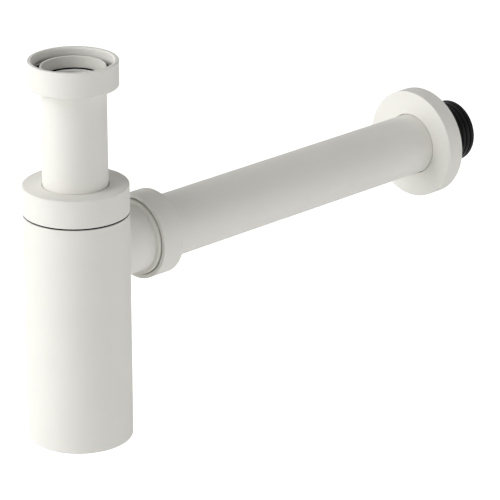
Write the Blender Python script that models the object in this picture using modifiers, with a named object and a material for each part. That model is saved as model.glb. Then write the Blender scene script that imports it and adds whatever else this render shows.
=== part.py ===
"""Round bottle trap for a washbasin, with its wall pipe and rosette.

Every piece is turned about one of two axes. The inlet axis is vertical and runs through
the union nut, the inlet tube, the collar and the bottle. The outlet axis is level and runs
from the bottle through the outlet nut and the pipe to the wall.

Metres, +Z up, +X from the bottle towards the wall. The origin is the centre of the union
nut's mouth, where the trap hangs from the basin waste.
"""

import math

import bpy

MM = 0.001
TURN = math.tau
DEGREE = TURN / 360

# Clearances between pieces that touch, slide or screw together
GAP = 0.3 * MM
GUIDE_GAP = 0.5 * MM

# Turning steps and edge shading
FINE_STEPS = 48
PLAIN_STEPS = 40
SMALL_STEPS = 32
ARC_STEPS = 2
SHARP_ANGLE = 25 * DEGREE

# Inlet tube and the dip tube pressed into it
INLET_TUBE_R = 16.0 * MM
INLET_TUBE_WALL = 1.0 * MM
INLET_TUBE_RECESS = 3.04 * MM
INLET_TUBE_TAIL = 27.0 * MM
DIP_TUBE_WALL = 1.2 * MM
DIP_TUBE_RECESS = 6.06 * MM
DIP_TUBE_BEVEL = 0.5 * MM
DIP_TUBE_HEAD = 3.2 * MM
DIP_TUBE_HEAD_WIDTH = 3.9 * MM
DIP_TUBE_STEP_WIDTH = 1.1 * MM
DIP_TUBE_STEP_DEPTH = 1.6 * MM
DIP_RING_RISE = 0.55 * MM
DIP_RING_EDGE_R = 0.2 * MM

# Union nut at the basin waste, G 1 1/4 at its thread crests
INLET_NUT_HEIGHT = 12.83 * MM
INLET_NUT_WALL = 2.6 * MM
INLET_NUT_FLOOR = 3.2 * MM
INLET_NUT_LEAD = 1.0 * MM
INLET_NUT_LEAD_DEPTH = 1.95 * MM
INLET_GASKET_WIDTH = 2.8 * MM
INLET_GASKET_THICKNESS = 2.1 * MM
SLIP_RING_THICKNESS = 1.4 * MM
NUT_EDGE_R = 0.5 * MM

# Bottle and its screwed-out base plug
RISER_WIDTH = 8.63 * MM
BOTTLE_WALL = 1.5 * MM
BOTTLE_HEIGHT = 117.19 * MM
BOTTLE_FLOOR = 3.0 * MM
BASE_EDGE_R = 1.0 * MM
PLUG_THREAD_R = 14.7 * MM
PLUG_HEAD_RIM = 3.4 * MM
PLUG_HEAD_THICKNESS = 2.5 * MM
PLUG_BOSS_WALL = 2.1 * MM
PLUG_BOSS_HEIGHT = 5.9 * MM
PLUG_CROWN = 6.0 * MM
PLUG_SHANK_WALL = 3.5 * MM
PLUG_SLOT_LENGTH = 24.0 * MM
PLUG_SLOT_WIDTH = 3.2 * MM
PLUG_SLOT_DEPTH = 1.5 * MM
PLUG_RING_SECTION_R = 0.75 * MM
SUMP_DEPTH = 14.0 * MM

# Collar, its washer at the seam, and the threaded neck with the seat of the inlet seal
COLLAR_DROP = 62.57 * MM
COLLAR_HEIGHT = 14.15 * MM
COLLAR_ROOF = 3.0 * MM
COLLAR_EDGE_R = 0.7 * MM
SEAM = 0.56 * MM
SEAM_LIP = 0.83 * MM
SEAM_REBATE = 0.62 * MM
NECK_STEP = 1.03 * MM
NECK_TAIL = 5.1 * MM
NECK_TAIL_WALL = 1.73 * MM
NECK_GUIDE = 4.7 * MM
SEAT_DEPTH = 6.7 * MM
SEAT_WIDTH = 3.9 * MM
SEAL_HEAD = 0.9 * MM
SEAL_TOE = 0.8 * MM

# Outlet spigot on the bottle
OUTLET_DROP = 22.79 * MM
SPIGOT_R = 15.3 * MM
SPIGOT_WALL = 1.4 * MM
SPIGOT_REACH = 11.47 * MM
SPIGOT_FILLET = 0.5 * MM
SOCKET_SHOULDER = 2.3 * MM
SOCKET_DEPTH = 5.0 * MM
SOCKET_WALL = 2.86 * MM
OUTLET_SEAT_DEPTH = 2.9 * MM
OUTLET_SEAT_WIDTH = 1.85 * MM
OUTLET_SEAL_TOE = 0.9 * MM

# Outlet nut
OUTLET_NUT_SETBACK = 0.5 * MM
OUTLET_NUT_LENGTH = 12.87 * MM
OUTLET_NUT_WALL = 2.26 * MM
OUTLET_NUT_END = 2.6 * MM

# Wall pipe
WALL_PIPE_R = 16.0 * MM
WALL_PIPE_WALL = 1.0 * MM
WALL_PIPE_LENGTH = 227.8 * MM
WALL_INSERT = 21.22 * MM
WALL_PIPE_NECK = 0.7 * MM

# Rosette and the ring that grips the pipe
ROSETTE_R = 28.85 * MM
ROSETTE_DEPTH = 9.59 * MM
ROSETTE_WALL = 1.8 * MM
ROSETTE_EDGE_R = 0.6 * MM
ROSETTE_HUB_WALL = 2.0 * MM
GRIP_RING_WIDTH = 1.7 * MM
GRIP_RING_LENGTH = 3.6 * MM
GRIP_RING_EDGE_R = 0.6 * MM

# Ribbed rubber seal for the drain in the wall
WALL_SEAL_SETBACK = 1.7 * MM
WALL_SEAL_LIP = 1.7 * MM
WALL_SEAL_NOSE = 0.5 * MM
RIB_COUNT = 6
RIB_WALL = 1.0 * MM
GROOVE_WALL = 0.45 * MM
GROOVE_SHARE = 0.14

# Finishes: linear colour, roughness, metallic
POWDER_COAT = ("powder_coat_white", (0.78, 0.77, 0.73), 0.55, 0.0)
BARE_BRASS = ("turned_brass", (0.62, 0.46, 0.20), 0.35, 1.0)
BLACK_RUBBER = ("black_rubber", (0.015, 0.015, 0.016), 0.60, 0.0)
CLEAR_NYLON = ("natural_nylon", (0.70, 0.68, 0.62), 0.45, 0.0)
WHITE_PLASTIC = ("white_polypropylene", (0.74, 0.74, 0.71), 0.45, 0.0)

# Radii that follow from the sizes above
INLET_NUT_BORE_R = INLET_TUBE_R + INLET_GASKET_WIDTH + 2 * GAP
BOTTLE_BORE_R = INLET_TUBE_R + RISER_WIDTH
BOTTLE_R = BOTTLE_BORE_R + BOTTLE_WALL
SEAM_LIP_R = BOTTLE_R - SEAM_LIP
NECK_THREAD_R = BOTTLE_BORE_R - NECK_STEP
NECK_GUIDE_R = INLET_TUBE_R + GUIDE_GAP
SEAT_MOUTH_R = NECK_GUIDE_R + SEAT_WIDTH
PLUG_HEAD_R = PLUG_THREAD_R + PLUG_HEAD_RIM
SOCKET_R = WALL_PIPE_R + GAP
SOCKET_HEAD_R = SOCKET_R + SOCKET_WALL
OUTLET_NUT_BORE_R = SOCKET_HEAD_R + GAP
GRIP_RING_R = WALL_PIPE_R + GAP + GRIP_RING_WIDTH
WALL_NECK_R = WALL_PIPE_R - WALL_PIPE_NECK

# Heights on the inlet axis, from the mouth down
NUT_FLOOR_Z = INLET_NUT_FLOOR - INLET_NUT_HEIGHT
INLET_RING_Z = NUT_FLOOR_Z + GAP
INLET_GASKET_Z = INLET_RING_Z + SLIP_RING_THICKNESS + GAP
COLLAR_TOP_Z = -COLLAR_DROP
COLLAR_BOTTOM_Z = COLLAR_TOP_Z - COLLAR_HEIGHT
COLLAR_ROOF_Z = COLLAR_TOP_Z - COLLAR_ROOF
COLLAR_RING_Z = COLLAR_ROOF_Z - GAP - SLIP_RING_THICKNESS
SEAL_TOP_Z = COLLAR_RING_Z - GAP
NECK_TOP_Z = SEAL_TOP_Z - SEAL_HEAD
SEAT_BOTTOM_Z = NECK_TOP_Z - SEAT_DEPTH
BOTTLE_TOP_Z = COLLAR_BOTTOM_Z - SEAM
NECK_SHOULDER_Z = BOTTLE_TOP_Z - SEAM_REBATE
NECK_BOTTOM_Z = NECK_SHOULDER_Z - NECK_TAIL
INLET_TUBE_END_Z = NECK_BOTTOM_Z - INLET_TUBE_TAIL
OUTLET_Z = BOTTLE_TOP_Z - OUTLET_DROP
BOTTLE_BOTTOM_Z = BOTTLE_TOP_Z - BOTTLE_HEIGHT
PLUG_HEAD_Z = BOTTLE_BOTTOM_Z + PLUG_HEAD_THICKNESS
PLUG_RING_Z = PLUG_HEAD_Z + GAP + PLUG_RING_SECTION_R
PLUG_SEAT_Z = PLUG_RING_Z + PLUG_RING_SECTION_R + GAP
PLUG_BOSS_Z = PLUG_SEAT_Z + PLUG_BOSS_HEIGHT
DIP_TUBE_END_Z = PLUG_BOSS_Z + SUMP_DEPTH

# Places along the outlet axis, from the inlet axis towards the wall
SPIGOT_FACE_X = BOTTLE_R + SPIGOT_REACH
SOCKET_FLOOR_X = SPIGOT_FACE_X + SOCKET_SHOULDER
SOCKET_END_X = SOCKET_FLOOR_X + SOCKET_DEPTH
OUTLET_NUT_X = SPIGOT_FACE_X + OUTLET_NUT_SETBACK
OUTLET_NUT_END_X = OUTLET_NUT_X + OUTLET_NUT_LENGTH
OUTLET_RING_END_X = OUTLET_NUT_END_X - OUTLET_NUT_END - GAP
OUTLET_SEAL_END_X = OUTLET_RING_END_X - SLIP_RING_THICKNESS - GAP
WALL_PIPE_X = SOCKET_FLOOR_X + GAP
WALL_PIPE_END_X = WALL_PIPE_X + WALL_PIPE_LENGTH
WALL_FACE_X = WALL_PIPE_END_X - WALL_INSERT
ROSETTE_X = WALL_FACE_X - ROSETTE_DEPTH
ROSETTE_PLATE_X = ROSETTE_X + ROSETTE_WALL
WALL_SEAL_X = WALL_FACE_X + WALL_SEAL_SETBACK
WALL_SEAL_END_X = WALL_PIPE_END_X + GAP + WALL_SEAL_LIP
WALL_NECK_X = WALL_SEAL_X - GAP


def clear_scene():
    """Remove whatever the open file holds."""
    for thing in list(bpy.data.objects):
        bpy.data.objects.remove(thing, do_unlink=True)


def new_collection(name):
    """Add an empty collection to the scene."""
    collection = bpy.data.collections.new(name)
    bpy.context.scene.collection.children.link(collection)
    return collection


def new_axis(collection, name, height, level):
    """Add the empty that the pieces of one axis are parented to; its local Z is the axis."""
    axis = bpy.data.objects.new(name, None)
    axis.location = (0.0, 0.0, height)
    axis.rotation_euler = (0.0, TURN / 4 if level else 0.0, 0.0)
    collection.objects.link(axis)
    return axis


def new_material(piece_name, finish):
    """Make one piece's Principled material from a finish."""
    label, colour, roughness, metallic = finish
    material = bpy.data.materials.new(f"{piece_name}_{label}")
    material.use_nodes = True
    shader = material.node_tree.nodes["Principled BSDF"]
    shader.inputs["Base Color"].default_value = (*colour, 1.0)
    shader.inputs["Roughness"].default_value = roughness
    shader.inputs["Metallic"].default_value = metallic
    return material


def rounded_corner(before, corner, after, radius):
    """Points of the arc that replaces a corner of a section."""
    to_before = (before[0] - corner[0], before[1] - corner[1])
    to_after = (after[0] - corner[0], after[1] - corner[1])
    length_before = math.hypot(*to_before)
    length_after = math.hypot(*to_after)
    u = (to_before[0] / length_before, to_before[1] / length_before)
    v = (to_after[0] / length_after, to_after[1] / length_after)
    half_angle = math.acos(u[0] * v[0] + u[1] * v[1]) / 2
    reach = min(radius / math.tan(half_angle), length_before / 2, length_after / 2)
    radius = reach * math.tan(half_angle)
    bisector = (u[0] + v[0], u[1] + v[1])
    scale = radius / math.sin(half_angle) / math.hypot(*bisector)
    centre = (corner[0] + bisector[0] * scale, corner[1] + bisector[1] * scale)
    start = math.atan2(corner[1] + u[1] * reach - centre[1], corner[0] + u[0] * reach - centre[0])
    end = math.atan2(corner[1] + v[1] * reach - centre[1], corner[0] + v[0] * reach - centre[0])
    sweep = math.remainder(end - start, TURN)
    angles = [start + sweep * step / ARC_STEPS for step in range(ARC_STEPS + 1)]
    return [(centre[0] + radius * math.cos(a), centre[1] + radius * math.sin(a)) for a in angles]


def section(*corners):
    """Turn corners (radius, height) or (radius, height, rounding) into a section's points."""
    points = []
    for index, corner in enumerate(corners):
        if len(corner) == 2:
            points.append(corner)
            continue
        before = corners[index - 1]
        after = corners[(index + 1) % len(corners)]
        points += rounded_corner(before, corner, after, corner[2])
    return points


def apply_modifiers(piece):
    """Keep the evaluated form as the piece's own mesh, smooth with sharp turned edges."""
    graph = bpy.context.evaluated_depsgraph_get()
    mesh = bpy.data.meshes.new_from_object(piece.evaluated_get(graph))
    piece.modifiers.clear()
    piece.data = mesh
    mesh.name = piece.name
    mesh.shade_smooth()
    mesh.set_sharp_from_angle(angle=SHARP_ANGLE)


def turned(collection, axis, name, points, steps, finish=None, closed=True):
    """Turn a section about the axis. The section runs down its outer side first."""
    edges = [(i, i + 1) for i in range(len(points) - 1)]
    if closed:
        edges.append((len(points) - 1, 0))
    mesh = bpy.data.meshes.new(name)
    mesh.from_pydata([(radius, 0.0, height) for radius, height in points], edges, [])
    piece = bpy.data.objects.new(name, mesh)
    piece.parent = axis
    collection.objects.link(piece)
    screw = piece.modifiers.new("turning", "SCREW")
    screw.axis = "Z"
    screw.angle = TURN
    screw.steps = steps
    screw.render_steps = steps
    screw.use_merge_vertices = True
    screw.merge_threshold = 0.00001
    apply_modifiers(piece)
    if finish:
        piece.data.materials.clear()
        piece.data.materials.append(new_material(name, finish))
    return piece


def ring(inner, outer, low, high, rounding=0.0):
    """Section of a plain ring, its outer edges rounded where a rounding is given."""
    if not rounding:
        return section((outer, high), (outer, low), (inner, low), (inner, high))
    return section((outer, high, rounding), (outer, low, rounding), (inner, low), (inner, high))


def hide_cutter(cutter):
    """Show a cutter as wire only, and leave it out of the model."""
    cutter.hide_render = True
    cutter.display_type = "WIRE"


def cut(piece, cutter):
    """Cut one piece with one cutter."""
    boolean = piece.modifiers.new(f"cut_{cutter.name}", "BOOLEAN")
    boolean.operation = "DIFFERENCE"
    boolean.solver = "EXACT"
    boolean.object = cutter
    hide_cutter(cutter)
    apply_modifiers(piece)


def make_inlet_tube(parts, axis):
    """Brass tube, whose plain rim stands up inside the union nut."""
    bore_r = INLET_TUBE_R - INLET_TUBE_WALL
    points = ring(bore_r, INLET_TUBE_R, INLET_TUBE_END_Z, -INLET_TUBE_RECESS)
    return turned(parts, axis, "inlet_tube", points, PLAIN_STEPS, POWDER_COAT)


def make_dip_tube(parts, axis):
    """Plastic tube that carries the flow below the water level; its head is the ledge in the bore.

    The head has a step round it, where its sealing ring lies.
    """
    outer_r = INLET_TUBE_R - INLET_TUBE_WALL - GAP
    bore_r = outer_r - DIP_TUBE_WALL
    head_bore_r = outer_r - DIP_TUBE_HEAD_WIDTH
    step_r = outer_r - DIP_TUBE_STEP_WIDTH
    top = -INLET_TUBE_RECESS - DIP_TUBE_RECESS
    head_low = top - DIP_TUBE_HEAD
    points = section(
        (step_r, top),
        (step_r, top - DIP_TUBE_STEP_DEPTH),
        (outer_r, top - DIP_TUBE_STEP_DEPTH),
        (outer_r, DIP_TUBE_END_Z + DIP_TUBE_BEVEL),
        (outer_r - DIP_TUBE_BEVEL, DIP_TUBE_END_Z),
        (bore_r, DIP_TUBE_END_Z),
        (bore_r, head_low),
        (head_bore_r, head_low),
        (head_bore_r, top),
    )
    return turned(parts, axis, "dip_tube", points, PLAIN_STEPS, WHITE_PLASTIC)


def make_dip_tube_ring(parts, axis):
    """Rubber ring on the head's step, the dark line in the bore; it seals the dip tube in the inlet tube."""
    outer_r = INLET_TUBE_R - INLET_TUBE_WALL - GAP
    inner_r = outer_r - DIP_TUBE_STEP_WIDTH + GAP
    top = -INLET_TUBE_RECESS - DIP_TUBE_RECESS
    low = top - DIP_TUBE_STEP_DEPTH + GAP
    points = ring(inner_r, outer_r, low, top + DIP_RING_RISE, DIP_RING_EDGE_R)
    return turned(parts, axis, "dip_tube_ring", points, SMALL_STEPS, BLACK_RUBBER)


def make_inlet_nut(parts, axis):
    """Union nut: an open-topped cup with a hole for the tube in its floor."""
    outer_r = INLET_NUT_BORE_R + INLET_NUT_WALL
    hole_r = INLET_TUBE_R + GAP
    points = section(
        (outer_r, 0.0, NUT_EDGE_R),
        (outer_r, -INLET_NUT_HEIGHT, NUT_EDGE_R),
        (hole_r, -INLET_NUT_HEIGHT),
        (hole_r, NUT_FLOOR_Z),
        (INLET_NUT_BORE_R, NUT_FLOOR_Z),
        (INLET_NUT_BORE_R, -INLET_NUT_LEAD_DEPTH),
        (INLET_NUT_BORE_R + INLET_NUT_LEAD, 0.0),
    )
    return turned(parts, axis, "inlet_nut", points, FINE_STEPS, POWDER_COAT)


def make_inlet_rings(parts, axis):
    """Gasket that the waste's tail lands on, and the slip ring that the nut turns against."""
    inner_r = INLET_TUBE_R + GAP
    outer_r = INLET_NUT_BORE_R - GAP
    gasket_top = INLET_GASKET_Z + INLET_GASKET_THICKNESS
    gasket = ring(inner_r, outer_r, INLET_GASKET_Z, gasket_top)
    slip_ring = ring(inner_r, outer_r, INLET_RING_Z, INLET_RING_Z + SLIP_RING_THICKNESS)
    turned(parts, axis, "inlet_gasket", gasket, PLAIN_STEPS, BLACK_RUBBER)
    turned(parts, axis, "inlet_slip_ring", slip_ring, SMALL_STEPS, CLEAR_NYLON)


def make_collar_nut(parts, axis):
    """Cap of the bottle's own diameter: its roof presses the seal, its skirt screws on the neck."""
    hole_r = INLET_TUBE_R + GAP
    thread_r = NECK_THREAD_R + GAP
    rebate_z = COLLAR_BOTTOM_Z + SEAM_REBATE
    points = section(
        (BOTTLE_R, COLLAR_TOP_Z, COLLAR_EDGE_R),
        (BOTTLE_R, COLLAR_BOTTOM_Z),
        (SEAM_LIP_R, COLLAR_BOTTOM_Z),
        (SEAM_LIP_R, rebate_z),
        (thread_r, rebate_z),
        (thread_r, COLLAR_ROOF_Z),
        (hole_r, COLLAR_ROOF_Z),
        (hole_r, COLLAR_TOP_Z),
    )
    return turned(parts, axis, "collar_nut", points, FINE_STEPS, POWDER_COAT)


def make_collar_rings(parts, axis):
    """Slip ring and tapered seal round the tube, and the black washer that shows at the seam."""
    inner_r = INLET_TUBE_R + GAP
    slip_r = NECK_THREAD_R
    slip_ring = ring(inner_r, slip_r, COLLAR_RING_Z, COLLAR_RING_Z + SLIP_RING_THICKNESS)
    washer_low = NECK_SHOULDER_Z + GAP
    washer_high = COLLAR_BOTTOM_Z + SEAM_REBATE - GAP
    washer = ring(NECK_THREAD_R + GAP, SEAM_LIP_R - GAP, washer_low, washer_high)
    seal = tapered_seal(
        inner_r, NECK_GUIDE_R, SEAT_MOUTH_R, SEAT_BOTTOM_Z, NECK_TOP_Z, SEAL_TOP_Z, SEAL_TOE
    )
    turned(parts, axis, "collar_slip_ring", slip_ring, SMALL_STEPS, CLEAR_NYLON)
    turned(parts, axis, "collar_washer", washer, FINE_STEPS, BLACK_RUBBER)
    turned(parts, axis, "collar_seal", seal, SMALL_STEPS, BLACK_RUBBER)


def tapered_seal(inner_r, seat_r, mouth_r, seat_bottom, seat_mouth, head_end, toe):
    """Section of a cone seal that lies one gap clear of the seat it is pressed into."""
    slope = (mouth_r - seat_r) / (seat_mouth - seat_bottom)
    side_gap = GAP * math.hypot(1.0, slope)
    head_r = mouth_r - side_gap
    toe_r = seat_r + slope * toe - side_gap
    return section(
        (head_r, head_end),
        (head_r, seat_mouth),
        (toe_r, seat_bottom + toe),
        (inner_r, seat_bottom + toe),
        (inner_r, head_end),
    )


def make_threaded_neck(parts, axis):
    """Turned ring brazed into the bottle: thread outside, guide and seal seat for the tube inside."""
    tail_r = BOTTLE_BORE_R - GAP
    tail_bore_r = tail_r - NECK_TAIL_WALL
    guide_bottom = SEAT_BOTTOM_Z - NECK_GUIDE
    points = section(
        (NECK_THREAD_R, NECK_TOP_Z, NUT_EDGE_R),
        (NECK_THREAD_R, NECK_SHOULDER_Z),
        (tail_r, NECK_SHOULDER_Z),
        (tail_r, NECK_BOTTOM_Z),
        (tail_bore_r, NECK_BOTTOM_Z),
        (tail_bore_r, guide_bottom),
        (NECK_GUIDE_R, guide_bottom),
        (NECK_GUIDE_R, SEAT_BOTTOM_Z),
        (SEAT_MOUTH_R, NECK_TOP_Z),
    )
    return turned(parts, axis, "threaded_neck", points, PLAIN_STEPS, BARE_BRASS)


def make_bottle(parts, cutters, axis, outlet_axis):
    """Bottle: one cylinder with a closed base, a tapped boss for the plug and the outlet's hole."""
    head_bore_r = PLUG_HEAD_R + GAP
    thread_bore_r = PLUG_THREAD_R + GAP
    boss_r = head_bore_r + PLUG_BOSS_WALL
    floor_z = BOTTLE_BOTTOM_Z + BOTTLE_FLOOR
    points = section(
        (BOTTLE_R, BOTTLE_TOP_Z),
        (BOTTLE_R, BOTTLE_BOTTOM_Z, BASE_EDGE_R),
        (head_bore_r, BOTTLE_BOTTOM_Z),
        (head_bore_r, PLUG_SEAT_Z),
        (thread_bore_r, PLUG_SEAT_Z),
        (thread_bore_r, PLUG_BOSS_Z),
        (boss_r, PLUG_BOSS_Z),
        (boss_r, floor_z),
        (BOTTLE_BORE_R, floor_z),
        (BOTTLE_BORE_R, NECK_SHOULDER_Z),
        (SEAM_LIP_R, NECK_SHOULDER_Z),
        (SEAM_LIP_R, BOTTLE_TOP_Z),
    )
    bottle = turned(parts, axis, "bottle_body", points, FINE_STEPS, POWDER_COAT)
    hole_r = SPIGOT_R + GAP
    far_end = BOTTLE_R + SPIGOT_REACH
    hole = section((0.0, far_end), (hole_r, far_end), (hole_r, 0.0), (0.0, 0.0))
    cut(bottle, turned(cutters, outlet_axis, "outlet_hole", hole, PLAIN_STEPS, closed=False))
    return bottle


def make_outlet_spigot(parts, cutters, axis, outlet_axis):
    """Stub brazed through the bottle's wall, opening into the threaded head of the outlet."""
    bore_r = SPIGOT_R - SPIGOT_WALL
    seat_x = SOCKET_END_X - OUTLET_SEAT_DEPTH
    seat_mouth_r = SOCKET_R + OUTLET_SEAT_WIDTH
    blank_x = BOTTLE_BORE_R / 2
    points = section(
        (SOCKET_HEAD_R, SOCKET_END_X),
        (SOCKET_HEAD_R, SPIGOT_FACE_X),
        (SPIGOT_R, SPIGOT_FACE_X, SPIGOT_FILLET),
        (SPIGOT_R, blank_x),
        (bore_r, blank_x),
        (bore_r, SOCKET_FLOOR_X),
        (SOCKET_R, SOCKET_FLOOR_X),
        (SOCKET_R, seat_x),
        (seat_mouth_r, SOCKET_END_X),
    )
    spigot = turned(parts, outlet_axis, "outlet_spigot", points, PLAIN_STEPS, POWDER_COAT)
    low = OUTLET_Z - 2 * SPIGOT_R
    high = OUTLET_Z + 2 * SPIGOT_R
    inside = section((0.0, high), (BOTTLE_BORE_R, high), (BOTTLE_BORE_R, low), (0.0, low))
    cut(spigot, turned(cutters, axis, "bottle_inside", inside, FINE_STEPS, closed=False))
    return spigot


def make_base_plug(parts, cutters, axis):
    """Cleaning plug, flush with the bottle's base, with a coin slot across its head."""
    shank_bore_r = PLUG_THREAD_R - PLUG_SHANK_WALL
    crown_z = BOTTLE_BOTTOM_Z + PLUG_CROWN
    points = section(
        (0.0, crown_z),
        (shank_bore_r, crown_z),
        (shank_bore_r, PLUG_BOSS_Z),
        (PLUG_THREAD_R, PLUG_BOSS_Z),
        (PLUG_THREAD_R, PLUG_HEAD_Z),
        (PLUG_HEAD_R, PLUG_HEAD_Z),
        (PLUG_HEAD_R, BOTTLE_BOTTOM_Z, NUT_EDGE_R),
        (0.0, BOTTLE_BOTTOM_Z),
    )
    plug = turned(parts, axis, "base_plug", points, PLAIN_STEPS, POWDER_COAT, closed=False)
    bpy.ops.mesh.primitive_cube_add(size=1.0, location=(0.0, 0.0, BOTTLE_BOTTOM_Z))
    slot = bpy.context.object
    slot.name = "coin_slot"
    slot.scale = (PLUG_SLOT_LENGTH, PLUG_SLOT_WIDTH, 2 * PLUG_SLOT_DEPTH)
    for collection in list(slot.users_collection):
        collection.objects.unlink(slot)
    cutters.objects.link(slot)
    cut(plug, slot)
    ring_r = PLUG_THREAD_R + GAP + PLUG_RING_SECTION_R
    turned(parts, axis, "base_plug_oring", round_ring(ring_r, PLUG_RING_Z), SMALL_STEPS, BLACK_RUBBER)
    return plug


def round_ring(radius, height, sides=8):
    """Section of a round cord ring, run clockwise so that its outer side runs down."""
    angles = [TURN / 4 - TURN * side / sides for side in range(sides)]
    size = PLUG_RING_SECTION_R
    return [(radius + size * math.cos(a), height + size * math.sin(a)) for a in angles]


def make_outlet_nut(parts, axis):
    """Nut over the spigot's head, closed at the wall side but for the pipe's hole."""
    outer_r = OUTLET_NUT_BORE_R + OUTLET_NUT_WALL
    hole_r = WALL_PIPE_R + GAP
    inner_x = OUTLET_NUT_END_X - OUTLET_NUT_END
    points = section(
        (outer_r, OUTLET_NUT_END_X, NUT_EDGE_R),
        (outer_r, OUTLET_NUT_X, NUT_EDGE_R),
        (OUTLET_NUT_BORE_R, OUTLET_NUT_X),
        (OUTLET_NUT_BORE_R, inner_x),
        (hole_r, inner_x),
        (hole_r, OUTLET_NUT_END_X),
    )
    return turned(parts, axis, "outlet_nut", points, FINE_STEPS, POWDER_COAT)


def make_outlet_rings(parts, axis):
    """Slip ring and tapered seal round the wall pipe, inside the outlet nut."""
    inner_r = WALL_PIPE_R + GAP
    slip_ring = ring(
        inner_r, OUTLET_NUT_BORE_R - GAP, OUTLET_RING_END_X - SLIP_RING_THICKNESS, OUTLET_RING_END_X
    )
    seat_x = SOCKET_END_X - OUTLET_SEAT_DEPTH
    seat_mouth_r = SOCKET_R + OUTLET_SEAT_WIDTH
    seal = tapered_seal(
        inner_r, SOCKET_R, seat_mouth_r, seat_x, SOCKET_END_X, OUTLET_SEAL_END_X, OUTLET_SEAL_TOE
    )
    turned(parts, axis, "outlet_slip_ring", slip_ring, SMALL_STEPS, CLEAR_NYLON)
    turned(parts, axis, "outlet_seal", seal, SMALL_STEPS, BLACK_RUBBER)


def make_wall_pipe(parts, axis):
    """Pipe from the outlet socket through the rosette, its end drawn in under the wall seal."""
    bore_r = WALL_PIPE_R - WALL_PIPE_WALL
    neck_bore_r = WALL_NECK_R - WALL_PIPE_WALL
    taper_x = WALL_NECK_X - WALL_PIPE_NECK
    points = section(
        (WALL_NECK_R, WALL_PIPE_END_X),
        (WALL_NECK_R, WALL_NECK_X),
        (WALL_PIPE_R, taper_x),
        (WALL_PIPE_R, WALL_PIPE_X),
        (bore_r, WALL_PIPE_X),
        (bore_r, taper_x),
        (neck_bore_r, WALL_NECK_X),
        (neck_bore_r, WALL_PIPE_END_X),
    )
    return turned(parts, axis, "wall_pipe", points, PLAIN_STEPS, POWDER_COAT)


def make_rosette(parts, axis):
    """Flat-faced hollow wall cover with a hub inside for its grip ring."""
    rim_bore_r = ROSETTE_R - ROSETTE_WALL
    hub_bore_r = GRIP_RING_R + GAP
    hub_r = hub_bore_r + ROSETTE_HUB_WALL
    hub_end = ROSETTE_PLATE_X + GRIP_RING_LENGTH + 2 * GAP
    hole_r = WALL_PIPE_R + GAP
    points = section(
        (ROSETTE_R, WALL_FACE_X),
        (ROSETTE_R, ROSETTE_X, ROSETTE_EDGE_R),
        (hole_r, ROSETTE_X),
        (hole_r, ROSETTE_PLATE_X),
        (hub_bore_r, ROSETTE_PLATE_X),
        (hub_bore_r, hub_end),
        (hub_r, hub_end),
        (hub_r, ROSETTE_PLATE_X),
        (rim_bore_r, ROSETTE_PLATE_X),
        (rim_bore_r, WALL_FACE_X),
    )
    return turned(parts, axis, "rosette", points, FINE_STEPS, POWDER_COAT)


def make_grip_ring(parts, axis):
    """Rubber ring in the rosette's hub that holds the rosette where it is pushed."""
    low = ROSETTE_PLATE_X + GAP
    points = ring(WALL_PIPE_R + GAP, GRIP_RING_R, low, low + GRIP_RING_LENGTH, GRIP_RING_EDGE_R)
    return turned(parts, axis, "rosette_grip_ring", points, SMALL_STEPS, BLACK_RUBBER)


def make_wall_seal(parts, axis):
    """Ribbed rubber sleeve on the pipe's end, its lip turned in over the cut end."""
    inner_r = WALL_NECK_R + GAP
    lip_r = WALL_NECK_R - WALL_PIPE_WALL
    rib_r = inner_r + RIB_WALL
    groove_r = inner_r + GROOVE_WALL
    ribs_end = WALL_SEAL_END_X - WALL_SEAL_NOSE
    pitch = (ribs_end - WALL_SEAL_X) / RIB_COUNT
    shoulder = pitch * GROOVE_SHARE
    points = [(groove_r - GROOVE_WALL / 2, WALL_SEAL_END_X)]
    for rib in range(RIB_COUNT):
        rib_top = ribs_end - rib * pitch
        points += [
            (groove_r, rib_top),
            (rib_r, rib_top - shoulder),
            (rib_r, rib_top - pitch + shoulder),
        ]
    points += [
        (groove_r, WALL_SEAL_X),
        (inner_r, WALL_SEAL_X),
        (inner_r, WALL_PIPE_END_X + GAP),
        (lip_r, WALL_PIPE_END_X + GAP),
        (lip_r, WALL_SEAL_END_X),
    ]
    return turned(parts, axis, "wall_seal", points, SMALL_STEPS, BLACK_RUBBER)


def main():
    """Build the trap, from the basin down and from the bottle to the wall."""
    clear_scene()
    parts = new_collection("bottle_trap")
    cutters = new_collection("cutters")
    inlet_axis = new_axis(parts, "inlet_axis", 0.0, level=False)
    outlet_axis = new_axis(parts, "outlet_axis", OUTLET_Z, level=True)

    make_inlet_nut(parts, inlet_axis)
    make_inlet_rings(parts, inlet_axis)
    make_inlet_tube(parts, inlet_axis)
    make_dip_tube(parts, inlet_axis)
    make_dip_tube_ring(parts, inlet_axis)

    make_collar_nut(parts, inlet_axis)
    make_collar_rings(parts, inlet_axis)
    make_threaded_neck(parts, inlet_axis)
    make_bottle(parts, cutters, inlet_axis, outlet_axis)
    make_base_plug(parts, cutters, inlet_axis)

    make_outlet_spigot(parts, cutters, inlet_axis, outlet_axis)
    make_outlet_nut(parts, outlet_axis)
    make_outlet_rings(parts, outlet_axis)
    make_wall_pipe(parts, outlet_axis)
    make_rosette(parts, outlet_axis)
    make_grip_ring(parts, outlet_axis)
    make_wall_seal(parts, outlet_axis)


main()
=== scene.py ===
"""Dressed model of the washbasin bottle trap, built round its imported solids.

Every piece is turned about the inlet axis, which is vertical, or the outlet axis, which runs
level to the wall. Sizes are in millimetres; Axis.turn makes metres of them.
"""

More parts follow.
